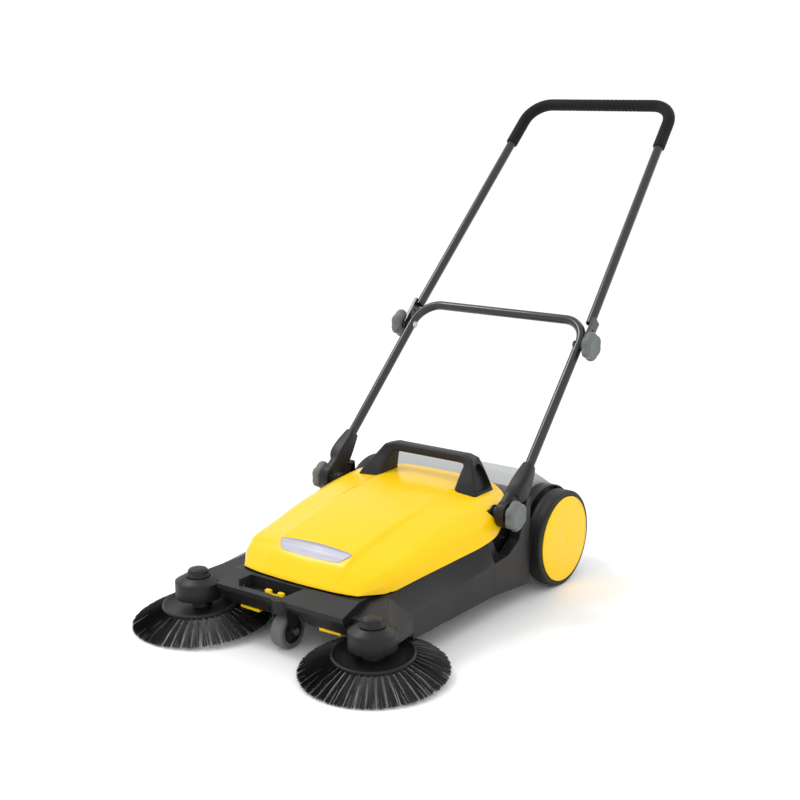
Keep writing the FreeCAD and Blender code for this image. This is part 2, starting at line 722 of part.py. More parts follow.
def make_belt(name, side):
    """Round belt with a quarter twist from the roller's pulley to the side brush's pulley."""
    drive, driven = DRIVING["drive_belt_radius"], DRIVING["brush_belt_radius"]
    across = Vector(0, 1, 0).cross(brush_axis(side)).normalize()
    back = brush_axis(side).cross(across).normalize()
    centre = brush_point(side, 55)
    plane = side * DRIVING["belt_plane"]
    points = [
        (plane, roller_y + drive, roller_z - drive),
        (plane, roller_y + drive, roller_z + drive),
        tuple(centre + across * side * driven - back * driven),
        tuple(centre - across * side * driven - back * driven),
    ]
    belt = closed_belt(points, [drive - 0.3, drive - 0.3, driven - 0.4, driven - 0.4], DRIVING["belt_radius"])
    feature(f"drive_belt_{name}", belt)


# ---------------------------------------------------------------- side brushes

def make_side_brush(name, side):
    """Plate, bristle ring, spindle, pulley, bearing and cap; heights run up from the bristle tips."""
    ring, tips = D["brush_ring_radius"], D["brush_tip_radius"]
    inner = D["shaft_radius"] + 0.05
    plate = new_body(f"side_brush_plate_{name}")
    turned(plate, [(inner, 20), (16, 20), (18, 24), (ring - 14, 25), (ring - 2, 28), (ring + 2, 33),
                   (ring + 1, 36), (ring - 3, 36), (ring - 6, 32), (ring - 14, 29), (18, 28), (16, 40),
                   (inner, 40)])
    on_spindle(plate, side, 0)
    bristles = new_body(f"side_brush_bristles_{name}")
    turned(bristles, [(ring + 2.4, 26), (ring + 2.4, 34), (tips, 3.4), (tips, 0), (tips - 5, 0)])
    on_spindle(bristles, side, 0)
    spindle = new_body(f"side_brush_spindle_{name}")
    shaft, groove = D["shaft_radius"], D["brush_belt_radius"] - D["belt_radius"] - 1.2
    turned(spindle, [(0, 16), (9, 16), (9, 19.8), (shaft, 19.8), (shaft, 48), (17, 48), (17, 51),
                     (groove, 52), (groove, 58), (17, 59), (17, 62), (shaft, 62), (shaft, 88), (0, 88)])
    on_spindle(spindle, side, 0)
    bearing = new_body(f"spindle_bearing_{name}")
    turned(bearing, [(D["shaft_radius"] + D["running_gap"], 76), (9.4, 76), (9.4, 85),
                     (D["shaft_radius"] + D["running_gap"], 85)])
    on_spindle(bearing, side, 0)
    cap = new_body(f"brush_cap_{name}")
    turned(cap, [(23, 0), (23, 3.5), (21, 5), (20.5, 9), (16.5, 13.5), (9, 15.6), (0, 16), (0, 13), (16, 9),
                 (16, 0)])
    place(cap, side * (D["brush_across"] + 3), D["brush_along"] - 7, D["cup_top"] + 0.1)


# ---------------------------------------------------------------- castor

def make_castor():
    """Swivelling front castor: fork with stem, axle bolt, tyre and hub."""
    radius, wide, along = D["castor_radius"], D["castor_width"], D["castor_along"]
    stem_y = along - D["castor_trail"]
    fork = new_body("castor_fork")
    pad(fork, "XY", [(-18.5, stem_y - 12), (18.5, stem_y - 12), (18.5, stem_y + 22),
                     (-18.5, stem_y + 22)], 3.6, offset=70)
    for side in (-1, 1):
        pad(fork, "YZ", [(stem_y - 12, 72), (stem_y + 22, 72), (along + 8, 30), (along + 4, 26),
                         (along - 4, 26), (along - 8, 30)], 3, offset=side * 15.5, back=side < 0)
    pad_rings(fork, "XY", [(0, stem_y, 8)], 25, offset=72)
    bore(fork, "YZ", [(along, radius, 4.02)], 60, middle=True)
    tyre = new_body("castor_tyre")
    turned(tyre, [(24.1, -wide / 2), (radius - 3, -wide / 2), (radius, 3 - wide / 2), (radius, wide / 2 - 3),
                  (radius - 3, wide / 2), (24.1, wide / 2)])
    place(tyre, 0, along, radius, TO_RIGHT)
    hub = new_body("castor_hub")
    turned(hub, [(4.05, -wide / 2), (8, -wide / 2), (9, 2 - wide / 2), (20, 4 - wide / 2),
                 (21, 1 - wide / 2), (24, 1 - wide / 2), (24, wide / 2 - 1), (21, wide / 2 - 1),
                 (20, wide / 2 - 4), (9, wide / 2 - 2), (8, wide / 2), (4.05, wide / 2)])
    place(hub, 0, along, radius, TO_RIGHT)
    axle = new_body("castor_axle")
    turned(axle, [(0, -22), (6.5, -22), (6.5, -18.6), (4, -18.6), (4, 18.6), (6.5, 18.6), (6.5, 22), (0, 22)])
    place(axle, 0, along, radius, TO_RIGHT)


# ---------------------------------------------------------------- push handle

def on_handle(item):
    """Handle pieces are drawn flat, legs along Y from the hinge, then raised to the handle's slope."""
    place(item, 0, D["pivot_along"], D["pivot_height"], HANDLE_TURN)


def leg_across(distance):
    """Half distance between the lower tube's legs at a distance from the hinge."""
    slope = (DRIVING["lower_leg_mid"] - DRIVING["lower_leg_low"]) / DRIVING["mid_distance"]
    return DRIVING["lower_leg_low"] + slope * distance


def upper_across(distance):
    """Half distance between the upper tube's legs at a distance from the hinge."""
    span = DRIVING["top_distance"] - DRIVING["mid_distance"]
    slope = (DRIVING["upper_leg_top"] - DRIVING["upper_leg_mid"]) / span
    return DRIVING["upper_leg_mid"] + slope * (distance - DRIVING["mid_distance"])


def hoop(start, end, across, radius):
    """U-shaped bar: two legs from start to end joined by a cross bar."""
    points = [(across(start), start, 0), (across(end), end, 0), (-across(end), end, 0),
              (-across(start), start, 0)]
    return bent_tube(points, [DRIVING["tube_bend"]] * 2, radius)


def cross_hole(distance, radius):
    """Cutter for a bolt hole right across the handle."""
    return Part.makeCylinder(radius, 600, Vector(-300, distance, 0), X_AXIS)


def make_handle_tubes():
    """Lower hoop, upper hoop with flattened ends, and the foam grip over its top."""
    radius, mid, bolt = DRIVING["tube_radius"], DRIVING["mid_distance"], DRIVING["bolt_radius"]
    inner = radius - DRIVING["tube_wall"]
    lower = hoop(38, DRIVING["crossbar_distance"], leg_across, radius).cut(cross_hole(mid, bolt + 0.02))
    lower = lower.cut(hoop(36, DRIVING["crossbar_distance"], leg_across, inner))
    on_handle(feature("lower_handle_tube", lower))
    upper = hoop(mid + 54, DRIVING["top_distance"], upper_across, radius)
    flat_outer = DRIVING["upper_leg_mid"] + radius + 0.2
    for _, side in SIDES:
        low = flat_outer - 7 if side > 0 else -flat_outer
        flat = Part.makeBox(7, 64, 25, Vector(low, mid, -12.5))
        flat = flat.fuse(Part.makeCylinder(12.5, 7, Vector(low, mid, 0), X_AXIS))
        upper = upper.fuse(flat)
    upper = upper.cut(hoop(mid + 50, DRIVING["top_distance"], upper_across, inner))
    upper = upper.cut(cross_hole(mid, bolt + 0.06)).cut(cross_hole(mid + 36, bolt)).removeSplitter()
    on_handle(feature("upper_handle_tube", upper))
    grip_start = DRIVING["top_distance"] - DRIVING["grip_leg"]
    grip = hoop(grip_start, DRIVING["top_distance"], upper_across, DRIVING["grip_radius"])
    grip = grip.cut(hoop(grip_start - 5, DRIVING["top_distance"], upper_across, radius + 0.1))
    on_handle(feature("foam_grip", grip))


def make_leg_socket(name, side):
    """Black socket at the foot of a handle leg: a hinge boss below, a sleeve round the tube above."""
    body = new_body(f"leg_socket_{name}")
    flip = side < 0
    pad_rings(body, "YZ", [(0, 0, 27)], 20, offset=side * 207, back=flip)
    pad(body, "YZ", [(0, -26), (40, -21), (112, -13), (112, 13), (40, 21), (0, 26)], 20, offset=side * 207,
        back=flip)
    pad(body, "YZ", [(34, -21.5), (112, -13), (112, 13), (34, 21.5)], 12, offset=side * 226, back=flip)
    pad_rings(body, "YZ", [(0, 0, 14)], 12.8, offset=side * 194.4, back=flip)
    bore(body, "YZ", [(0, 0, D["bolt_radius"] + D["running_gap"])], 60, offset=side * 190, back=not flip)
    sleeve = body.newObject("PartDesign::SubtractiveCylinder", f"sleeve_{name}")
    bind(sleeve, "Radius", D["tube_radius"] + 0.1)
    sleeve.Height = 90
    foot = Vector(side * leg_across(36), 36, 0)
    run = Vector(side * leg_across(130), 130, 0) - foot
    sleeve.Placement = Placement(foot, Rotation(Z_AXIS, run))
    volume(body)
    on_handle(body)


def make_bolts(name, side):
    """Hinge bolt fixed to the bracket and the mid bolt through both tubes."""
    radius = D["bolt_radius"]
    hinge = new_body(f"hinge_bolt_{name}")
    turned(hinge, [(0, 185.6), (7, 185.6), (7, 188), (radius - 0.02, 188), (radius - 0.02, 244), (0, 244)])
    place(hinge, 0, D["pivot_along"], D["pivot_height"], facing(side))
    middle = new_body(f"mid_bolt_{name}")
    head = leg_across(DRIVING["mid_distance"]) - DRIVING["tube_radius"]
    turned(middle, [(0, head - 4), (6, head - 3), (8.5, head - 0.1), (radius, head - 0.1), (radius, 245),
                    (0, 245)])
    mid_y, mid_z = along_handle(DRIVING["mid_distance"])
    place(middle, 0, mid_y, mid_z, facing(side))


def make_knob(label, side, y, z, face):
    """Grey clamp knob: a round head scalloped into six lobes, threaded on its bolt."""
    radius, depth = D["knob_radius"], D["knob_depth"]
    body = new_body(label)
    turned(body, [(D["bolt_radius"] + D["running_gap"], 0), (radius - 12, 0), (radius - 2, 3), (radius, 8),
                  (radius - 1, depth - 6), (radius - 6, depth - 1), (radius - 10, depth), (0, depth),
                  (0, depth - 4), (D["bolt_radius"] + D["running_gap"], depth - 4)])
    scallop = bore(body, "XY", [(radius + 5, 0, 9)], depth + 10, offset=-5, back=True)
    pattern = body.newObject("PartDesign::PolarPattern", f"{label}_lobes")
    pattern.Originals = [scallop]
    pattern.Axis = (plane_of(body, "Z_Axis"), [""])
    pattern.Angle = 360
    pattern.Occurrences = 6
    body.Tip = pattern
    doc.recompute()
    place(body, side * face, y, z, facing(side))


# ---------------------------------------------------------------- waste container and fittings

def make_container():
    """Grey waste container behind the roller: hollow, with its mouth facing the roller."""
    body = new_body("waste_container")
    half, floor, top, rear = D["bin_half"], D["bin_floor"], D["bin_top"], D["bin_rear"]
    pad(body, "YZ", [(-6, 152), (-6, 212), (30, top - 4), (62, top), (150, 178), (rear - 17, 150),
                     (rear, 120), (rear - 8, floor), (100, floor), (92, 44), (92, 118), (60, 147)], 2 * half,
        middle=True)
    pocket(body, "YZ", [(-3, 155), (-3, 210), (31, top - 7), (62, top - 3.4), (148, 175), (rear - 19, 147.5),
                        (rear - 3.2, 119), (rear - 11, floor + 3), (101, floor + 3), (95, 46), (95, 120),
                        (61, 150)], 2 * half - 6, middle=True)
    pocket(body, "YZ", [(85, 50), (97, 50), (97, 112), (85, 112)], 2 * half - 26, middle=True)
    for side in (-1, 1):
        pad(body, "XY", [(side * (half - 1), 102), (side * (half + 5), 102), (side * (half + 5), 165),
                         (side * (half - 1), 165)], 4, offset=40.4)
    grip = new_body("container_grip")
    pad(grip, "XY", [(-62, 243), (62, 243), (62, 234), (-62, 234)], 12, offset=94)
    for side in (-1, 1):
        pad(grip, "XY", [(side * 62, 238), (side * 50, 238), (side * 50, rear + 0.1),
                         (side * 62, rear + 0.1)], 12, offset=94)


def make_fittings():
    """Container rails, the sealing lip behind the roller, tie bars and bracket screws."""
    lip = new_body("sealing_lip")
    pad(lip, "YZ", [(88.4, 8), (91.6, 8), (91.6, 49), (88.4, 49)], 2 * D["plate_inner"] - 0.1, middle=True)
    for name, side in SIDES:
        rail = new_body(f"container_rail_{name}")
        outer, inner = side * (D["plate_inner"] - 0.05), side * (D["bin_half"] + 0.6)
        pad(rail, "XY", [(outer, 100), (inner, 100), (inner, 165), (outer, 165)], 3.4, offset=36.6)
    for name, y, z in (("rear", -130, 135), ("front", -385, 82)):
        bar = doc.addObject("Part::Cylinder", f"tie_bar_{name}")
        bar.Radius = 5
        bind(bar, "Height", 2 * D["plate_inner"])
        place(bar, -D["plate_inner"], y, z, TO_RIGHT)
        parts.append(bar)
    for name, side in SIDES:
        for index, y in enumerate((-140, -80)):
            head = doc.addObject("Part::Cone", f"screw_head_{name}")
            head.Radius1, head.Radius2, head.Height = 3, 5, 3
            shank = doc.addObject("Part::Cylinder", f"screw_shank_{name}")
            shank.Radius, shank.Height = 2.5, 13
            shank.Placement = Placement(Vector(0, 0, 3), Rotation())
            screw = doc.addObject("Part::Fuse", f"screw_{name}_{index}")
            screw.Base, screw.Tool = head, shank
            place(screw, side * (D["plate_inner"] - 3), y, 130, facing(side))
            parts.append(screw)


# ---------------------------------------------------------------- build everything

make_chassis_shell()
make_hood()
make_carry_handle()
make_badge()
make_hood_latch()
make_roller()
make_axle_nuts()
make_castor()
make_handle_tubes()
make_container()
make_fittings()
mid_along, mid_height = along_handle(DRIVING["mid_distance"])
for side_name, side_sign in SIDES:
    make_side_plate(side_name, side_sign)
    make_side_cover(side_name, side_sign)
    make_hinge_bracket(side_name, side_sign)
    make_front_strip(side_name, side_sign)
    make_wheel(side_name, side_sign)
    make_gears(side_name, side_sign)
    make_axle(side_name, side_sign)
    make_roller_ends(side_name, side_sign)
    make_belt(side_name, side_sign)
    make_side_brush(side_name, side_sign)
    make_leg_socket(side_name, side_sign)
    make_bolts(side_name, side_sign)
    make_knob(f"hinge_knob_{side_name}", side_sign, D["pivot_along"], D["pivot_height"], Size(228.5))
    make_knob(f"mid_knob_{side_name}", side_sign, mid_along, mid_height,
              D["upper_leg_mid"] + D["tube_radius"] + 0.6)

PAIRS = {
    "wheel_axles": ("wheel_axle_left", "wheel_axle_right"),
    "axle_fasteners": ("axle_nut_left", "axle_nut_right", "axle_clip_left", "axle_clip_right"),
    "hinge_bolts": ("hinge_bolt_left", "hinge_bolt_right"),
    "hinge_brackets": ("hinge_bracket_left", "hinge_bracket_right"),
    "mid_bolts": ("mid_bolt_left", "mid_bolt_right"),
    "leg_sockets": ("leg_socket_left", "leg_socket_right"),
    "roller_bearings": ("roller_bearing_left", "roller_bearing_right"),
    "drive_pulleys": ("drive_pulley_left", "drive_pulley_right"),
    "drive_belts": ("drive_belt_left", "drive_belt_right"),
    "spindle_bearings": ("spindle_bearing_left", "spindle_bearing_right"),
    "brush_caps": ("brush_cap_left", "brush_cap_right"),
    "front_strips": ("front_strip_left", "front_strip_right"),
    "container_rails": ("container_rail_left", "container_rail_right"),
    "tie_bars": ("tie_bar_front", "tie_bar_rear"),
    "bracket_screws": tuple(f"screw_{side}_{index}" for side, _ in SIDES for index in (0, 1)),
}
for group_name, members in PAIRS.items():
    grouped(group_name, *members)

doc.recompute()
for item in doc.Objects:
    if "Invalid" in item.State or "Error" in item.State:
        raise RuntimeError(f"{item.Label} failed: {item.State}")
os.makedirs("parts", exist_ok=True)
faulty = [part.Label for part in parts
          if part.Shape.isNull() or not part.Shape.isValid() or not part.Shape.Solids]
if faulty:
    raise RuntimeError(f"no valid solid in {faulty}")
for part in parts:
    part.Shape.exportStep(f"parts/{part.Label}.step")
print(len(parts), "parts")
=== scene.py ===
import json
import math
import random

import bmesh
import bpy
from mathutils import Matrix, Vector

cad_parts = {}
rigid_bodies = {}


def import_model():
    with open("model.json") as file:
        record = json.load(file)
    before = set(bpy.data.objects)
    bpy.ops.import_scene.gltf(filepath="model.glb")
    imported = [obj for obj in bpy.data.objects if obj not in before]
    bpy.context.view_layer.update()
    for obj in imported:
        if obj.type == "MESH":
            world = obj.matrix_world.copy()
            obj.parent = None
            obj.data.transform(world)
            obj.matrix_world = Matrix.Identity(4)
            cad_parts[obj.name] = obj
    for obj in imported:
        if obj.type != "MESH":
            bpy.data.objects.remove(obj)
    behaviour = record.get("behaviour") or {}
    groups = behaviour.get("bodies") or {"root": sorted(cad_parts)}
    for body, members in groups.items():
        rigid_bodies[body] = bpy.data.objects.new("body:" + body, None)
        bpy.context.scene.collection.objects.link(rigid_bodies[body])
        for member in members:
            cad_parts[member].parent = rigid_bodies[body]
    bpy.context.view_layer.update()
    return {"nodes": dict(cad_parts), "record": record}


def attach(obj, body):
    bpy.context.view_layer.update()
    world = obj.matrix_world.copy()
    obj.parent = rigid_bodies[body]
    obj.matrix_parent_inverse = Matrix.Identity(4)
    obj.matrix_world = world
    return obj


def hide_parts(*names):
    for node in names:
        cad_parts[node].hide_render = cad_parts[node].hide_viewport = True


for leftover in list(bpy.data.objects):
    bpy.data.objects.remove(leftover)
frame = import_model()
nodes = frame["nodes"]
slot_of_node = {row["node"]: row["material_slot"] for row in frame["record"]["subparts"]}
MM = 0.001
SIDES = (("left", -1), ("right", 1))
RANDOM = random.Random(11)


# ---------------------------------------------------------------- camera, light and floor

CAMERA_PLACE = (1.5476, -2.2488, 1.0064)
CAMERA_TURN = {"azimuth": 36.5, "pitch": 13.2, "roll": -0.2}
CAMERA_LENS = 61.46


def add_camera():
    """Camera for a low quarter view of the front and the right side."""
    azimuth, pitch, roll = (math.radians(CAMERA_TURN[key]) for key in ("azimuth", "pitch", "roll"))
    level = math.cos(pitch)
    back = Vector((math.sin(azimuth) * level, -math.cos(azimuth) * level, math.sin(pitch)))
    right = (-back).cross(Vector((0, 0, 1))).normalized()
    up = right.cross(-back)
    right, up = right * math.cos(roll) + up * math.sin(roll), up * math.cos(roll) - right * math.sin(roll)
    data = bpy.data.cameras.new("Camera")
    data.sensor_width, data.lens = 36, CAMERA_LENS
    data.clip_start, data.clip_end = 0.05, 60
    camera = bpy.data.objects.new("Camera", data)
    bpy.context.scene.collection.objects.link(camera)
    rows = [(right[k], up[k], back[k], CAMERA_PLACE[k]) for k in range(3)]
    camera.matrix_world = Matrix(rows + [(0, 0, 0, 1)])
    bpy.context.scene.camera = camera


def add_light(name, place, target, size, power):
    """Rectangular area light that points at a target."""
    data = bpy.data.lights.new(name, "AREA")
    data.shape, data.size, data.size_y, data.energy = "RECTANGLE", size[0], size[1], power
    lamp = bpy.data.objects.new(name, data)
    bpy.context.scene.collection.objects.link(lamp)
    lamp.location = place
    lamp.rotation_euler = (Vector(target) - Vector(place)).to_track_quat("-Z", "Y").to_euler()


def add_studio():
    """White surroundings, three lamps and a white floor."""
    bpy.context.scene.view_settings.view_transform = "Standard"
    world = bpy.data.worlds.new("Studio")
    bpy.context.scene.world = world
    world.use_nodes = True
    world.node_tree.nodes["Background"].inputs["Color"].default_value = (1, 1, 1, 1)
    world.node_tree.nodes["Background"].inputs["Strength"].default_value = 1.03
    add_light("Key", (-1.9, -0.4, 2.9), (0, 0, 0.1), (0.9, 0.9), 30)
    add_light("Fill", (2.6, -2.4, 1.6), (0, 0, 0.2), (1.2, 1.2), 7)
    add_light("Back", (0.5, 2.8, 2.4), (0, 0, 0.2), (2.0, 0.6), 14)
    mesh = bpy.data.meshes.new("Floor")
    mesh.from_pydata([(-30, -30, 0), (30, -30, 0), (30, 30, 0), (-30, 30, 0)], [], [(0, 1, 2, 3)])
    floor = bpy.data.objects.new("Floor", mesh)
    bpy.context.scene.collection.objects.link(floor)
    material = bpy.data.materials.new("floor_white")
    material.use_nodes = True
    shader = material.node_tree.nodes["Principled BSDF"]
    shader.inputs["Base Color"].default_value = (0.97, 0.97, 0.97, 1)
    shader.inputs["Roughness"].default_value = 0.6
    mesh.materials.append(material)


# ---------------------------------------------------------------- materials

def surface(name, colour, roughness, grain=1400, depth=0.04, drift=0.10, gloss_drift=0.06, metallic=0.0,
            coat=0.0, stretch=(1, 1, 1), coat_roughness=0.1, shine=0.5):
    """Moulded, painted or metal surface: relief grain (depth in mm) with slow drifts of tone and gloss."""
    material = bpy.data.materials.new(name)
    material.use_nodes = True
    tree = material.node_tree
    shader = tree.nodes["Principled BSDF"]
    place = tree.nodes.new("ShaderNodeTexCoord")
    scaled = tree.nodes.new("ShaderNodeMapping")
    scaled.inputs["Scale"].default_value = stretch
    tree.links.new(place.outputs["Object"], scaled.inputs["Vector"])

    def noise(scale, detail):
        node = tree.nodes.new("ShaderNodeTexNoise")
        node.inputs["Scale"].default_value = scale
        node.inputs["Detail"].default_value = detail
        tree.links.new(scaled.outputs["Vector"], node.inputs["Vector"])
        return node.outputs["Fac"]

    slow, fine = noise(11, 4), noise(grain, 2)
    mix = tree.nodes.new("ShaderNodeMix")
    mix.data_type = "RGBA"
    mix.inputs["A"].default_value = [c * (1 - drift) for c in colour] + [1]
    mix.inputs["B"].default_value = [min(1, c * (1 + drift)) for c in colour] + [1]
    tree.links.new(slow, mix.inputs["Factor"])
    tree.links.new(mix.outputs["Result"], shader.inputs["Base Color"])
    gloss = tree.nodes.new("ShaderNodeMapRange")
    gloss.inputs["From Min"].default_value, gloss.inputs["From Max"].default_value = 0.3, 0.7
    gloss.inputs["To Min"].default_value = roughness - gloss_drift
    gloss.inputs["To Max"].default_value = roughness + gloss_drift
    tree.links.new(slow, gloss.inputs["Value"])
    tree.links.new(gloss.outputs["Result"], shader.inputs["Roughness"])
    bump = tree.nodes.new("ShaderNodeBump")
    bump.inputs["Distance"].default_value = depth * MM
    tree.links.new(fine, bump.inputs["Height"])
    tree.links.new(bump.outputs["Normal"], shader.inputs["Normal"])
    shader.inputs["Metallic"].default_value = metallic
    shader.inputs["Specular IOR Level"].default_value = shine
    shader.inputs["Coat Weight"].default_value = coat
    shader.inputs["Coat Roughness"].default_value = coat_roughness
    return material


FINISHES = {
    "black_plastic": dict(colour=(0.012, 0.012, 0.0125), roughness=0.42, grain=1700, depth=0.04,
                          shine=0.27),
    "yellow_plastic": dict(colour=(0.96, 0.60, 0.002), roughness=0.26, grain=500, depth=0.003,
                           drift=0.02, coat=0.08, gloss_drift=0.03, coat_roughness=0.06, shine=0.22),
    "knob_grey": dict(colour=(0.135, 0.146, 0.146), roughness=0.5, grain=1500, depth=0.04, shine=0.4),
    "container_grey": dict(colour=(0.46, 0.47, 0.48), roughness=0.42, grain=1200, depth=0.02,
                           drift=0.04),
    "tube_paint": dict(colour=(0.020, 0.020, 0.021), roughness=0.26, grain=2600, depth=0.01, coat=0.3,
                       shine=0.35),
    "grip_foam": dict(colour=(0.007, 0.007, 0.007), roughness=0.7, grain=2200, depth=0.2, shine=0.2),
    "tyre_black": dict(colour=(0.012, 0.012, 0.012), roughness=0.55, grain=1500, depth=0.05, shine=0.3),
    "castor_grey": dict(colour=(0.12, 0.12, 0.124), roughness=0.6, grain=1400, depth=0.06, shine=0.35),
    "bristle_black": dict(colour=(0.006, 0.006, 0.006), roughness=0.42, grain=3000, depth=0.01,
                          drift=0.4, shine=0.3),
    "bare_steel": dict(colour=(0.50, 0.50, 0.49), roughness=0.3, grain=900, depth=0.01, metallic=1.0,
                       stretch=(1, 1, 12)),
    "bearing_white": dict(colour=(0.66, 0.65, 0.61), roughness=0.4, grain=1200, depth=0.01),
    "belt_rubber": dict(colour=(0.015, 0.015, 0.015), roughness=0.65, grain=1800, depth=0.06, shine=0.3),
    "badge_silver": dict(colour=(0.30, 0.30, 0.36), roughness=0.34, grain=500, depth=0.006,
                         metallic=0.15, stretch=(1, 9, 9), drift=0.10),
}
MATERIALS = {name: surface(name, **finish) for name, finish in FINISHES.items()}


# ---------------------------------------------------------------- mesh helpers

def finish_piece(piece, slot, body, replaced=(), sharp=35):
    """Give a new piece its material, shading and body, and hide the CAD nodes that it stands for."""
    piece.data.materials.append(MATERIALS[slot])
    for face in piece.data.polygons:
        face.use_smooth = True
    piece.data.set_sharp_from_angle(angle=math.radians(sharp))
    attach(piece, body)
    if replaced:
        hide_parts(*replaced)


def new_piece(name, vertices, faces):
    """Mesh object from vertices in millimetres."""
    mesh = bpy.data.meshes.new(name)
    mesh.from_pydata([Vector(v) * MM for v in vertices], [], faces)
    shape = bmesh.new()
    shape.from_mesh(mesh)
    bmesh.ops.recalc_face_normals(shape, faces=shape.faces)
    shape.to_mesh(mesh)
    shape.free()
    piece = bpy.data.objects.new(name, mesh)
    bpy.context.scene.collection.objects.link(piece)
    return piece


def bake(piece):
    """Apply a piece's modifiers to its mesh."""
    graph = bpy.context.evaluated_depsgraph_get()
    mesh = bpy.data.meshes.new_from_object(piece.evaluated_get(graph))
    piece.modifiers.clear()
    piece.data = mesh


def combine(piece, operation, *others):
    """Join closed pieces to a piece (UNION) or take them from it (DIFFERENCE), then remove them."""
    for other in others:
        step = piece.modifiers.new("Combine", "BOOLEAN")
        step.operation, step.object, step.solver = operation, other, "EXACT"
    bake(piece)
    for other in others:
        bpy.data.objects.remove(other)


def softened(points, radius, steps=3, closed=True):
    """Round an outline's corners; every corner gives the same number of points."""
    points = [Vector(p) for p in points]
    count, made = len(points), []
    for index, corner in enumerate(points):
        if not closed and index in (0, count - 1):
            made.append(corner)
            continue
        before, after = points[index - 1] - corner, points[(index + 1) % count] - corner
        size = radius[index] if isinstance(radius, (list, tuple)) else radius
        cut_back = min(size, 0.45 * before.length, 0.45 * after.length)
        if cut_back < 1e-6:
            made += [corner.copy() for _ in range(steps + 1)]
            continue
        start, end = corner + before.normalized() * cut_back, corner + after.normalized() * cut_back
        for step in range(steps + 1):
            t = step / steps
            made.append(start * (1 - t) ** 2 + corner * 2 * t * (1 - t) + end * t ** 2)
    return made


def skin(name, rings, around=True, along=False):
    """Surface through rings of points (mm). around closes each ring; along closes the run of rings.

    A run of closed rings that is open along its length gets a flat face at each end.
    """
    size = len(rings[0])
    faces = []
    for j in range(len(rings) if along else len(rings) - 1):
        k = (j + 1) % len(rings)
        for i in range(size if around else size - 1):
            n = (i + 1) % size
            faces.append((j * size + i, j * size + n, k * size + n, k * size + i))
    if around and not along:
        faces.append(tuple(range(size)))
        faces.append(tuple((len(rings) - 1) * size + i for i in range(size)))
    return new_piece(name, [point for ring in rings for point in ring], faces)


def lathe(name, profile, turn, place, segments=96, rounding=1.0):
    """Closed profile of (radius, height) turned about local Z; turn and place put it in the frame (mm)."""
    pole = 0.02  # a point on the axis stays this far from it, so that no face closes up
    outline = [(max(p.x, pole), p.y) for p in softened([(r, h, 0) for r, h in profile], rounding)]
    rings = []
    for index in range(segments):
        angle = 2 * math.pi * index / segments
        rings.append([turn @ Vector((r * math.cos(angle), r * math.sin(angle), h)) + Vector(place)
                      for r, h in outline])
    return skin(name, rings, along=True)


def prism(name, outline, low, high, axis="x"):
    """Straight-sided solid from an outline across the frame's X or Z axis (mm)."""
    if axis == "x":
        return skin(name, [[(d, a, b) for a, b in outline] for d in (low, high)])
    return skin(name, [[(a, b, d) for a, b in outline] for d in (low, high)])


def spline(values, t):
    """Catmull-Rom value at t along a list of equally numbered values."""
    last = len(values) - 1
    index = min(int(t), last - 1)
    f = t - index
    p0, p1 = values[max(index - 1, 0)], values[index]
    p2, p3 = values[index + 1], values[min(index + 2, last)]
    return 0.5 * (2 * p1 + (p2 - p0) * f + (2 * p0 - 5 * p1 + 4 * p2 - p3) * f ** 2
                  + (3 * p1 - p0 - 3 * p2 + p3) * f ** 3)


def facing(side):
    """Rotation that points local Z outward along X."""
    return Matrix.Rotation(math.radians(90 * side), 3, "Y")


def soften_node(item, width):
    """Weld a carried-over CAD node and round its edges."""
    weld = item.modifiers.new("Weld", "WELD")
    weld.merge_threshold = 1e-6
    edges = item.modifiers.new("Edges", "BEVEL")
    edges.width, edges.segments, edges.limit_method = width * MM, 2, "ANGLE"
    edges.angle_limit = math.radians(32)
    edges.harden_normals = True


# ---------------------------------------------------------------- hood, carry handle, badge

HOOD_SECTIONS = (
    # y, then half of the section as (x, z): rim, flank, shoulder, foot and edge of the raised middle panel
    (-482, ((136, 117.6), (134, 119), (120, 120), (96, 120.5), (88, 121))),
    (-450, ((164, 117.6), (162, 130), (150, 142), (96, 146), (88, 150))),
    (-430, ((171.5, 118.4), (169, 136.5), (156.5, 150), (96, 156.5), (88, 161.6))),
    (-410, ((177, 119.6), (174, 142), (162, 157), (96, 166), (88, 172))),
    (-345, ((187, 127), (182, 152), (165, 169), (98, 180), (88, 187))),
    (-261, ((200.5, 136.2), (193, 168), (165, 189), (100, 196), (90, 202))),
    (-167, ((213, 146.6), (206, 178), (165, 203), (101, 208), (90, 212))),
    (-110, ((206, 160), (200, 190), (165, 209), (102, 213), (90, 217))),
    (-50, ((177, 202), (175, 206), (165, 209), (102, 215), (90, 218))),
    (-10, ((131, 208), (129, 211), (122, 213), (100, 216), (90, 218))),
)
PANEL_CROWN = 1.5
PANEL_HALF = 88
PIVOT = Vector((0, -109.7, 190.9))


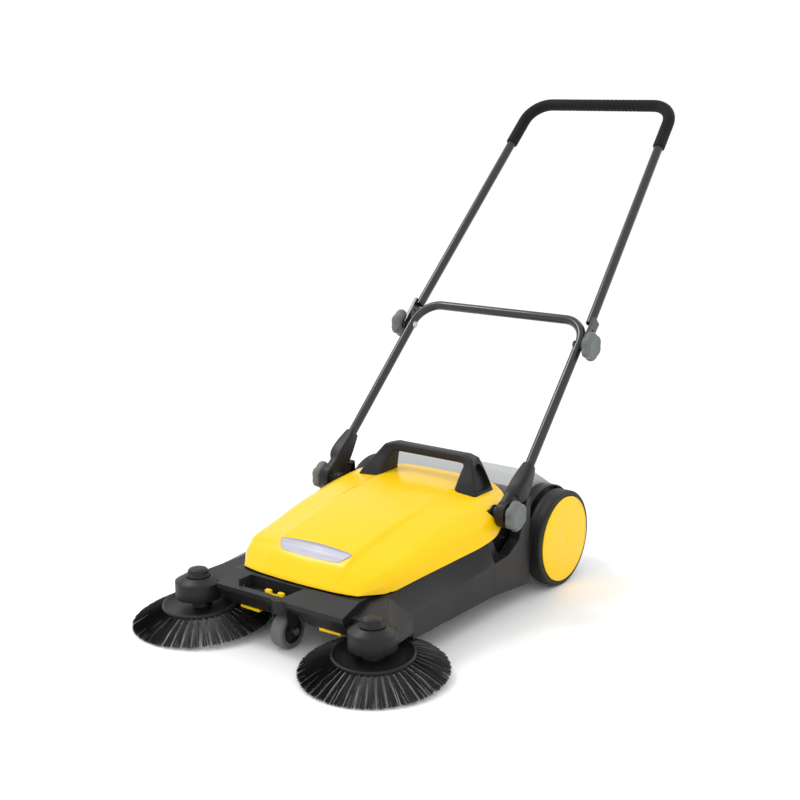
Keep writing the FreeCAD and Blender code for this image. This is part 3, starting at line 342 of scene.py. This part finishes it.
def make_hood():
    """Yellow hood: one thin skin with rounded shoulders, a raised middle panel and a hemmed edge."""
    rings, parts = [], 8
    for step in range((len(HOOD_SECTIONS) - 1) * parts + 1):
        t = step / parts
        along = spline([s[0] for s in HOOD_SECTIONS], t)
        half = [Vector((spline([s[1][i][0] for s in HOOD_SECTIONS], t),
                        spline([s[1][i][1] for s in HOOD_SECTIONS], t), 0)) for i in range(5)]
        crown = Vector((0, half[4].y + PANEL_CROWN, 0))
        outline = half + [crown] + [Vector((-p.x, p.y, 0)) for p in reversed(half)]
        outline = softened(outline, [0, 9, 16, 4, 5, 30, 5, 4, 16, 9, 0], 4, closed=False)
        nose = max(0.0, (along + 400) / -82)
        rings.append([(p.x, along + nose * 14 * (abs(p.x) / 136) ** 3, p.y) for p in outline])
    drop = [(x * 0.999, y - 0.6, 117.6) for x, y, _ in rings[0]]
    rear = [(x, y + 1.0, z - 7) for x, y, z in rings[-1]]
    hood = skin("hood_cover", [drop] + rings + [rear], around=False)
    shell = hood.modifiers.new("Wall", "SOLIDIFY")
    shell.thickness, shell.offset = 2.6 * MM, -1
    bake(hood)
    notch, inner, outer = 19.5, 184.5, 230
    circle = [(PIVOT.y + notch * math.cos(a), PIVOT.z + notch * math.sin(a))
              for a in (2 * math.pi * i / 40 for i in range(40))]
    combine(hood, "DIFFERENCE", prism("notch_right", circle, inner, outer),
            prism("notch_left", circle, -outer, -inner))
    finish_piece(hood, "yellow_plastic", "chassis", ["hood"], sharp=50)


def hood_height(x, y):
    """Height of the hood's middle panel at a point of its front slope."""
    low, high = 0.0, 6.0  # places along HOOD_SECTIONS, in front of the hinge
    for _ in range(30):
        middle = (low + high) / 2
        low, high = (middle, high) if spline([s[0] for s in HOOD_SECTIONS], middle) < y else (low, middle)
    return spline([s[1][4][1] for s in HOOD_SECTIONS], low) + PANEL_CROWN * (1 - abs(x) / PANEL_HALF)


def make_badge():
    """Blank badge: a thin plate that follows the hood, its long edges bowed and its ends cut back."""
    columns, rows, half, corner = 48, 8, 84, 68
    top, bottom = [], []
    for column in range(columns + 1):
        x = -half + 2 * half * column / columns
        rear = -412.5 - 5.0 * (x / half) ** 2
        front = -443.5 + 4.0 * (x / corner) ** 2 + max(0.0, abs(x) - corner)
        for row in range(rows + 1):
            y = front + (rear - front) * row / rows
            rim = 0.35 if row in (0, rows) or column in (0, columns) else 0.0
            top.append((x, y, hood_height(x, y) + 1.0 - rim))
            bottom.append((x, y, hood_height(x, y) - 0.4))
    count, stride, faces = len(top), rows + 1, []
    for column in range(columns):
        for row in range(rows):
            a = column * stride + row
            quad = (a, a + stride, a + stride + 1, a + 1)
            faces += [quad, tuple(count + k for k in reversed(quad))]
    edge = [c * stride for c in range(columns + 1)] + [columns * stride + r for r in range(1, stride)]
    edge += [c * stride + rows for c in range(columns - 1, -1, -1)] + list(range(rows - 1, 0, -1))
    for a, b in zip(edge, edge[1:] + edge[:1]):
        faces.append((a, a + count, b + count, b))
    finish_piece(new_piece("badge_plate", top + bottom, faces), "badge_silver", "chassis", ["badge"])


def make_carry_handle():
    """Carry handle: a bar on splayed hollow feet, its section changing along the loop."""
    stations = (
        # x, z of the centre line, y front, y rear, half thickness across the line, tilt of the section
        (119, 210, -108, -40, 27, 0), (116, 220, -103.5, -39, 24.5, 3), (110.5, 236, -92, -37, 19.5, 6),
        (105, 251, -79, -35.5, 15, 12), (98.5, 262.5, -69, -34.5, 13, 42), (87, 267, -63.5, -34, 9.8, 80),
        (72, 267.3, -62.3, -34, 9.2, 90), (35, 267.3, -62, -34, 9.2, 90),
    )
    half = []
    for x, z, front, rear, thick, tilt in stations:
        middle, deep = (front + rear) / 2, (rear - front) / 2
        lean = math.radians(tilt)
        section = softened([(-thick, -deep, 0), (thick, -deep, 0), (thick, deep, 0), (-thick, deep, 0)],
                           7, 4)
        half.append([(x + p.x * math.cos(lean), middle + p.y, z + p.x * math.sin(lean)) for p in section])
    mirrored = [[(-x, y, z) for x, y, z in ring] for ring in reversed(half)]
    handle = skin("carry_handle_body", half + mirrored)
    recess = softened([(-100, 216, 0), (-47, 216, 0), (-42, 232, 0), (-42, 250, 0), (-48, 262, 0),
                       (-64, 260, 0), (-78, 244, 0)], 8, 4)
    for side in (-1, 1):
        pocket = [[(side * (depth - (p.y - 216) * 0.62), p.x, p.y) for p in recess] for depth in (132, 190)]
        combine(handle, "DIFFERENCE", skin("pocket", pocket))
    finish_piece(handle, "black_plastic", "chassis", ["carry_handle"], sharp=40)


# ---------------------------------------------------------------- wheels

WHEEL_CENTRE = (0, 67.8, 98.3)
# (radius, distance from the machine's middle) round each closed section
TYRE_PROFILE = ((84.1, 211.7), (92, 211.7), (96.6, 213.6), (98.3, 217.5), (98.3, 226), (97.5, 227),
                (97.5, 228.4), (98.3, 229.4), (98.3, 243.6), (96.4, 247), (88.6, 247.2), (88.2, 246),
                (84.1, 246))
DISC_PROFILE = ((0, 243.4), (80.6, 243.4), (80.6, 247.1), (87.3, 247.1), (87.3, 248.8), (86.0, 249.7),
                (83.4, 249.7), (82.6, 248.9), (81.0, 248.9), (80.2, 249.5), (40, 249.6), (0, 249.6))


def make_wheels():
    """Rear wheels: a grooved tyre and a disc with a raised rim."""
    for name, side in SIDES:
        tyre = lathe(f"tyre_{name}", TYRE_PROFILE, facing(side), WHEEL_CENTRE, 128, 2.2)
        finish_piece(tyre, "tyre_black", f"wheel_{name}", [f"wheel_tyre_{name}"])
        disc = lathe(f"wheel_cap_{name}", DISC_PROFILE, facing(side), WHEEL_CENTRE, 128, 0.7)
        finish_piece(disc, "yellow_plastic", f"wheel_{name}", [f"wheel_disc_{name}"])


# ---------------------------------------------------------------- side brushes

# (radius, height) round each closed section
PLATE_PROFILE = ((5.1, 20), (16, 20), (18, 23.6), (60, 24.4), (72, 26.6), (75, 30.5), (75, 34), (74, 36),
                 (71.6, 36.6), (69.6, 35), (66.5, 31.4), (58, 28.6), (19, 27.6), (16.4, 40), (5.1, 40))
CAP_PROFILE = ((0, 0.1), (23.4, 0.1), (23.4, 2.4), (21.8, 3.8), (21.6, 5.2), (20.2, 5.6), (19.6, 10),
               (17, 13.4), (10.5, 15.3), (0, 15.9))


def brush_frame(side):
    """Rotation and foot of a side brush's tilted spindle."""
    axis = Vector((side * math.sin(math.radians(1.4)), -math.sin(math.radians(4.1)), 1)).normalized()
    return axis.to_track_quat("Z", "Y").to_matrix(), Vector((side * 204.5, -512.0, 10.6))


def filament(vertices, faces, points, radii):
    """Add a thin three-sided bristle through two or more points."""
    run = (points[-1] - points[0]).normalized()
    across = run.cross(Vector((0.13, 0.21, 0.97))).normalized()
    lift = run.cross(across)
    base = len(vertices)
    for point, radius in zip(points, radii):
        for corner in range(3):
            angle = 2.094 * corner  # a third of a turn
            vertices.append(point + (across * math.cos(angle) + lift * math.sin(angle)) * radius)
    for ring in range(len(points) - 1):
        for corner in range(3):
            a, b = base + ring * 3 + corner, base + ring * 3 + (corner + 1) % 3
            faces.append((a, b, b + 3, a + 3))
    end = base + (len(points) - 1) * 3
    faces.append((base, base + 2, base + 1))
    faces.append((end, end + 1, end + 2))


def make_side_brushes():
    """Side brushes: a dished plate and a ring of tufts, each a bundle of bowed bristles."""
    for name, side in SIDES:
        turn, foot = brush_frame(side)
        plate = lathe(f"brush_plate_{name}", PLATE_PROFILE, turn, foot, 96, 1.4)
        finish_piece(plate, "black_plastic", f"side_brush_{name}", [f"side_brush_plate_{name}"])
        vertices, faces = [], []
        tufts, strands, ring = 44, 54, 73
        root_spread, tip_spread = 0.024, 0.062  # half widths of a tuft, in radians
        for tuft in range(tufts):
            middle = 2 * math.pi * tuft / tufts
            for _ in range(strands):
                spread = RANDOM.uniform(-1, 1)
                root_angle = middle + spread * root_spread
                tip_angle = middle + spread * tip_spread + RANDOM.uniform(-0.008, 0.008)
                high = RANDOM.uniform(0, 1)
                root = Vector((ring * math.cos(root_angle), ring * math.sin(root_angle), 27 + 5.5 * high))
                reach = RANDOM.uniform(130.5, 134.7)
                tip = Vector((reach * math.cos(tip_angle), reach * math.sin(tip_angle), 0.4 + 3.5 * high))
                bow = root.lerp(tip, 0.55) + Vector((0, 0, 2.2))
                line = [turn @ point + foot for point in (root, bow, tip)]
                filament(vertices, faces, line, (0.55, 0.5, 0.32))
        bristles = new_piece(f"brush_bristles_{name}", vertices, faces)
        finish_piece(bristles, "bristle_black", f"side_brush_{name}", [f"side_brush_bristles_{name}"],
                     sharp=80)


def make_brush_caps():
    """Domed caps over the brush spindles; the right one stands for the CAD node of both."""
    for name, side in SIDES:
        cap = lathe(f"brush_cap_{name}", CAP_PROFILE, Matrix.Identity(3), (side * 207.5, -519, 97.1), 72, 1.6)
        finish_piece(cap, "black_plastic", "chassis", ["brush_caps"] if side > 0 else [])


# ---------------------------------------------------------------- roller bristles

def make_roller_bristles():
    """Main roller's bristles in eight strips of three rows."""
    gear_arm, gear_drop, height = 62, 28.3, 70
    strips, places, pitch, first = 8, 112, 3, -166
    core, reach = 30, 68.3
    centre = Vector((0, WHEEL_CENTRE[1] - math.sqrt(gear_arm ** 2 - gear_drop ** 2), height))
    vertices, faces = [], []
    for strip in range(strips):
        for place in range(places):
            for row in (-1, 0, 1):
                x = first + place * pitch + RANDOM.uniform(-0.8, 0.8)
                angle = 2 * math.pi * strip / strips + row * 0.05
                tip_angle = angle + row * 0.03 + RANDOM.uniform(-0.03, 0.03)
                root = centre + Vector((x, core * math.cos(angle), core * math.sin(angle)))
                tip = centre + Vector((x + RANDOM.uniform(-1, 1), reach * math.cos(tip_angle),
                                       reach * math.sin(tip_angle)))
                filament(vertices, faces, (root, tip), (0.8, 0.6))
    piece = new_piece("roller_fibres", vertices, faces)
    finish_piece(piece, "bristle_black", "roller", ["roller_bristles"], sharp=80)


# ---------------------------------------------------------------- push handle

MID_DISTANCE, TOP_DISTANCE = 401.8, 1059.7
UPPER_HALF_MID, UPPER_HALF_TOP = 218.2, 183.3
RISE = Matrix.Rotation(math.radians(45.5), 3, "X")


def on_handle(x, distance, lift=0.0):
    """Point in the frame from its place on the handle plane."""
    return RISE @ Vector((x, distance, lift)) + PIVOT


def hoop_line(start, end, across, bend):
    """Centre line of a U-shaped bar on the handle plane, from the right foot to the left one."""
    corners = [Vector((across(start), start, 0)), Vector((across(end), end, 0)),
               Vector((-across(end), end, 0)), Vector((-across(start), start, 0))]
    line, parts = [corners[0]], 9
    for index in (1, 2):
        corner = corners[index]
        arriving = (corner - corners[index - 1]).normalized()
        leaving = (corners[index + 1] - corner).normalized()
        turn = arriving.angle(leaving)
        back = bend * math.tan(turn / 2)
        centre = corner - arriving * back + Vector((-arriving.y, arriving.x, 0)) * bend
        begin = corner - arriving * back - centre
        for part in range(parts + 1):
            line.append(centre + Matrix.Rotation(turn * part / parts, 3, "Z") @ begin)
    line.append(corners[3])
    return line


def resampled(line, spacing):
    """The line with extra points so that no gap is wider than spacing."""
    made = [line[0]]
    for a, b in zip(line, line[1:]):
        pieces = max(1, math.ceil((b - a).length / spacing))
        made += [a.lerp(b, k / pieces) for k in range(1, pieces + 1)]
    return made


def tube_rings(line, radius_at):
    """Rings round a line on the handle plane; radius_at takes the length from its start."""
    rings, run, sides = [], 0.0, 28
    for index, point in enumerate(line):
        before, after = line[max(index - 1, 0)], line[min(index + 1, len(line) - 1)]
        if index:
            run += (point - before).length
        forward = (after - before).normalized()
        across = Vector((-forward.y, forward.x, 0))
        radius = radius_at(run)
        ring = []
        for corner in range(sides):
            angle = 2 * math.pi * corner / sides
            p = point + across * math.cos(angle) * radius + Vector((0, 0, 1)) * math.sin(angle) * radius
            ring.append(on_handle(p.x, p.y, p.z))
        rings.append(ring)
    return rings


def upper_across(distance):
    """Half distance between the upper tube's legs at a distance from the hinge."""
    slope = (UPPER_HALF_TOP - UPPER_HALF_MID) / (TOP_DISTANCE - MID_DISTANCE)
    return UPPER_HALF_MID + slope * (distance - MID_DISTANCE)


def make_foam_grip():
    """Foam sleeve over the top of the hoop, with ribbed finger grooves along its bar."""
    leg, bend = 125, 55
    outer_radius, end_radius, inner_radius = 13.4, 11.6, 9.9
    ribbed_half, groove_pitch, groove_depth = 96, 9.6, 0.85
    line = resampled(hoop_line(TOP_DISTANCE - leg, TOP_DISTANCE, upper_across, bend), 1.6)
    total = sum((b - a).length for a, b in zip(line, line[1:]))

    def radius_at(run):
        end = min(run, total - run)
        radius = outer_radius if end > 3 else end_radius + 0.6 * end
        from_middle = abs(run - total / 2)
        if from_middle < ribbed_half:
            radius -= groove_depth * max(0.0, math.sin(from_middle * 2 * math.pi / groove_pitch)) ** 2
        return radius

    rings = tube_rings(line, radius_at)
    inner = tube_rings(line, lambda run: inner_radius)
    piece = skin("grip_sleeve", rings + inner[::-1], along=True)
    finish_piece(piece, "grip_foam", "upper_handle", ["foam_grip"], sharp=60)


def make_leg_sockets():
    """Black sockets at the handle's feet: a round hinge boss, then an arm that tapers up to the tube.

    The right one stands for the CAD node of both.
    """
    stations = (
        # distance along the leg, inner and outer x, half width
        (6, 207.3, 226.6, 24.5), (20, 207.2, 227.3, 22.5), (33, 207.1, 228.0, 20.8),
        (38, 207.1, 231.6, 20.6), (45, 207.1, 235.6, 20.8), (56, 207.2, 237.8, 20.9),
        (70, 207.6, 238.2, 19.3), (84, 208.4, 237.4, 16.8), (97, 209.3, 235.6, 14.4),
        (107, 210.4, 233.6, 13.0), (112, 211.6, 232.2, 12.2),
    )
    for name, side in SIDES:
        rings = []
        for step in range((len(stations) - 1) * 4 + 1):
            along, inner, outer, half = (spline([s[k] for s in stations], step / 4) for k in range(4))
            corner = min(9.0, half * 0.7)
            section = softened([(inner, -half, 0), (outer, -half, 0), (outer, half, 0), (inner, half, 0)],
                               [4, corner, corner, 4], 4)
            rings.append([on_handle(side * p.x, along, p.y) for p in section])
        arm = skin(f"leg_socket_{name}", rings)
        ring = [(5.3, 194.6), (13.8, 194.6), (13.8, 207.0), (26.9, 207.1), (26.9, 226.8), (5.3, 226.8)]
        boss = lathe(f"boss_{name}", ring, facing(side), PIVOT, 72, 2.0)
        combine(arm, "UNION", boss)
        bore = [(0, 190), (5.2, 190), (5.2, 240), (0, 240)]
        bolt_way = lathe(f"bolt_way_{name}", bore, facing(side), PIVOT, 40, 0)
        combine(arm, "DIFFERENCE", bolt_way)
        finish_piece(arm, "black_plastic", "lower_handle", ["leg_sockets"] if side > 0 else [], sharp=40)


def make_recess_liner():
    """Dark floor, rear wall and left end of the grip recess in the deck."""
    floor = prism("recess_liner", [(-99.4, -485.0), (-96.6, -509.8), (-87.8, -519.6), (3.8, -519.6),
                                   (26.6, -485.0)], 88.7, 89.6, "z")
    wall = prism("recess_wall", [(-101.6, -521), (-99.8, -521), (-99.8, -486.2), (40, -486.2), (40, -484.4),
                                 (-101.6, -484.4)], 86, 113, "z")
    combine(floor, "UNION", wall)
    finish_piece(floor, "belt_rubber", "chassis")


def make_knob(name, centre_y, centre_z, side, face):
    """Lobed clamp knob with a dished face, facing outward from face along X."""
    rings, lobes, segments = [], 6, 120
    grip_radius, grip_depth = 17, 4.4  # the hollows between lobes begin here and are this deep at the rim
    profile = softened([
        (4.2, 0, 0), (19, 0, 0), (28, 3, 0), (31, 8, 0), (30, 16, 0), (25, 21, 0), (20, 21.9, 0),
        (15, 20.4, 0), (0.3, 20.0, 0), (0.3, 18.2, 0), (4.2, 18.2, 0)], 2.2, 3)
    for index in range(segments):
        angle = 2 * math.pi * index / segments
        lobe = 0.5 + 0.5 * math.cos(lobes * angle)
        ring = []
        for p in profile:
            grip = max(0.0, (p.x - grip_radius) / 14)
            radius = p.x - grip_depth * (1 - lobe) ** 1.3 * grip
            ring.append(facing(side) @ Vector((radius * math.cos(angle), radius * math.sin(angle), p.y))
                        + Vector((side * face, centre_y, centre_z)))
        rings.append(ring)
    piece = skin(f"{name}_head", rings, along=True)
    finish_piece(piece, "knob_grey", name, [name], sharp=50)


# ---------------------------------------------------------------- build

add_camera()
add_studio()
make_hood()
make_badge()
make_carry_handle()
make_wheels()
make_side_brushes()
make_brush_caps()
make_roller_bristles()
make_foam_grip()
make_leg_sockets()
make_recess_liner()
mid = on_handle(0, MID_DISTANCE)
for side_name, side_sign in SIDES:
    make_knob(f"hinge_knob_{side_name}", PIVOT.y, PIVOT.z, side_sign, 228.5)
    make_knob(f"mid_knob_{side_name}", mid.y, mid.z, side_sign, 228.55)

# Carried-over CAD nodes keep their shape; these ones get rounded edges of the given width in mm.
EDGE_WIDTHS = {
    "chassis_shell": 2.0, "side_cover_left": 1.2, "side_cover_right": 1.2, "waste_container": 3.0,
    "container_grip": 2.0, "castor_fork": 0.8, "front_strips": 0.6, "hood_latch": 0.4,
    "side_plate_left": 0.4, "side_plate_right": 0.4,
}
for node_name, item in nodes.items():
    item.data.materials.clear()
    item.data.materials.append(MATERIALS[slot_of_node[node_name]])
    if node_name in EDGE_WIDTHS and not item.hide_render:
        soften_node(item, EDGE_WIDTHS[node_name])
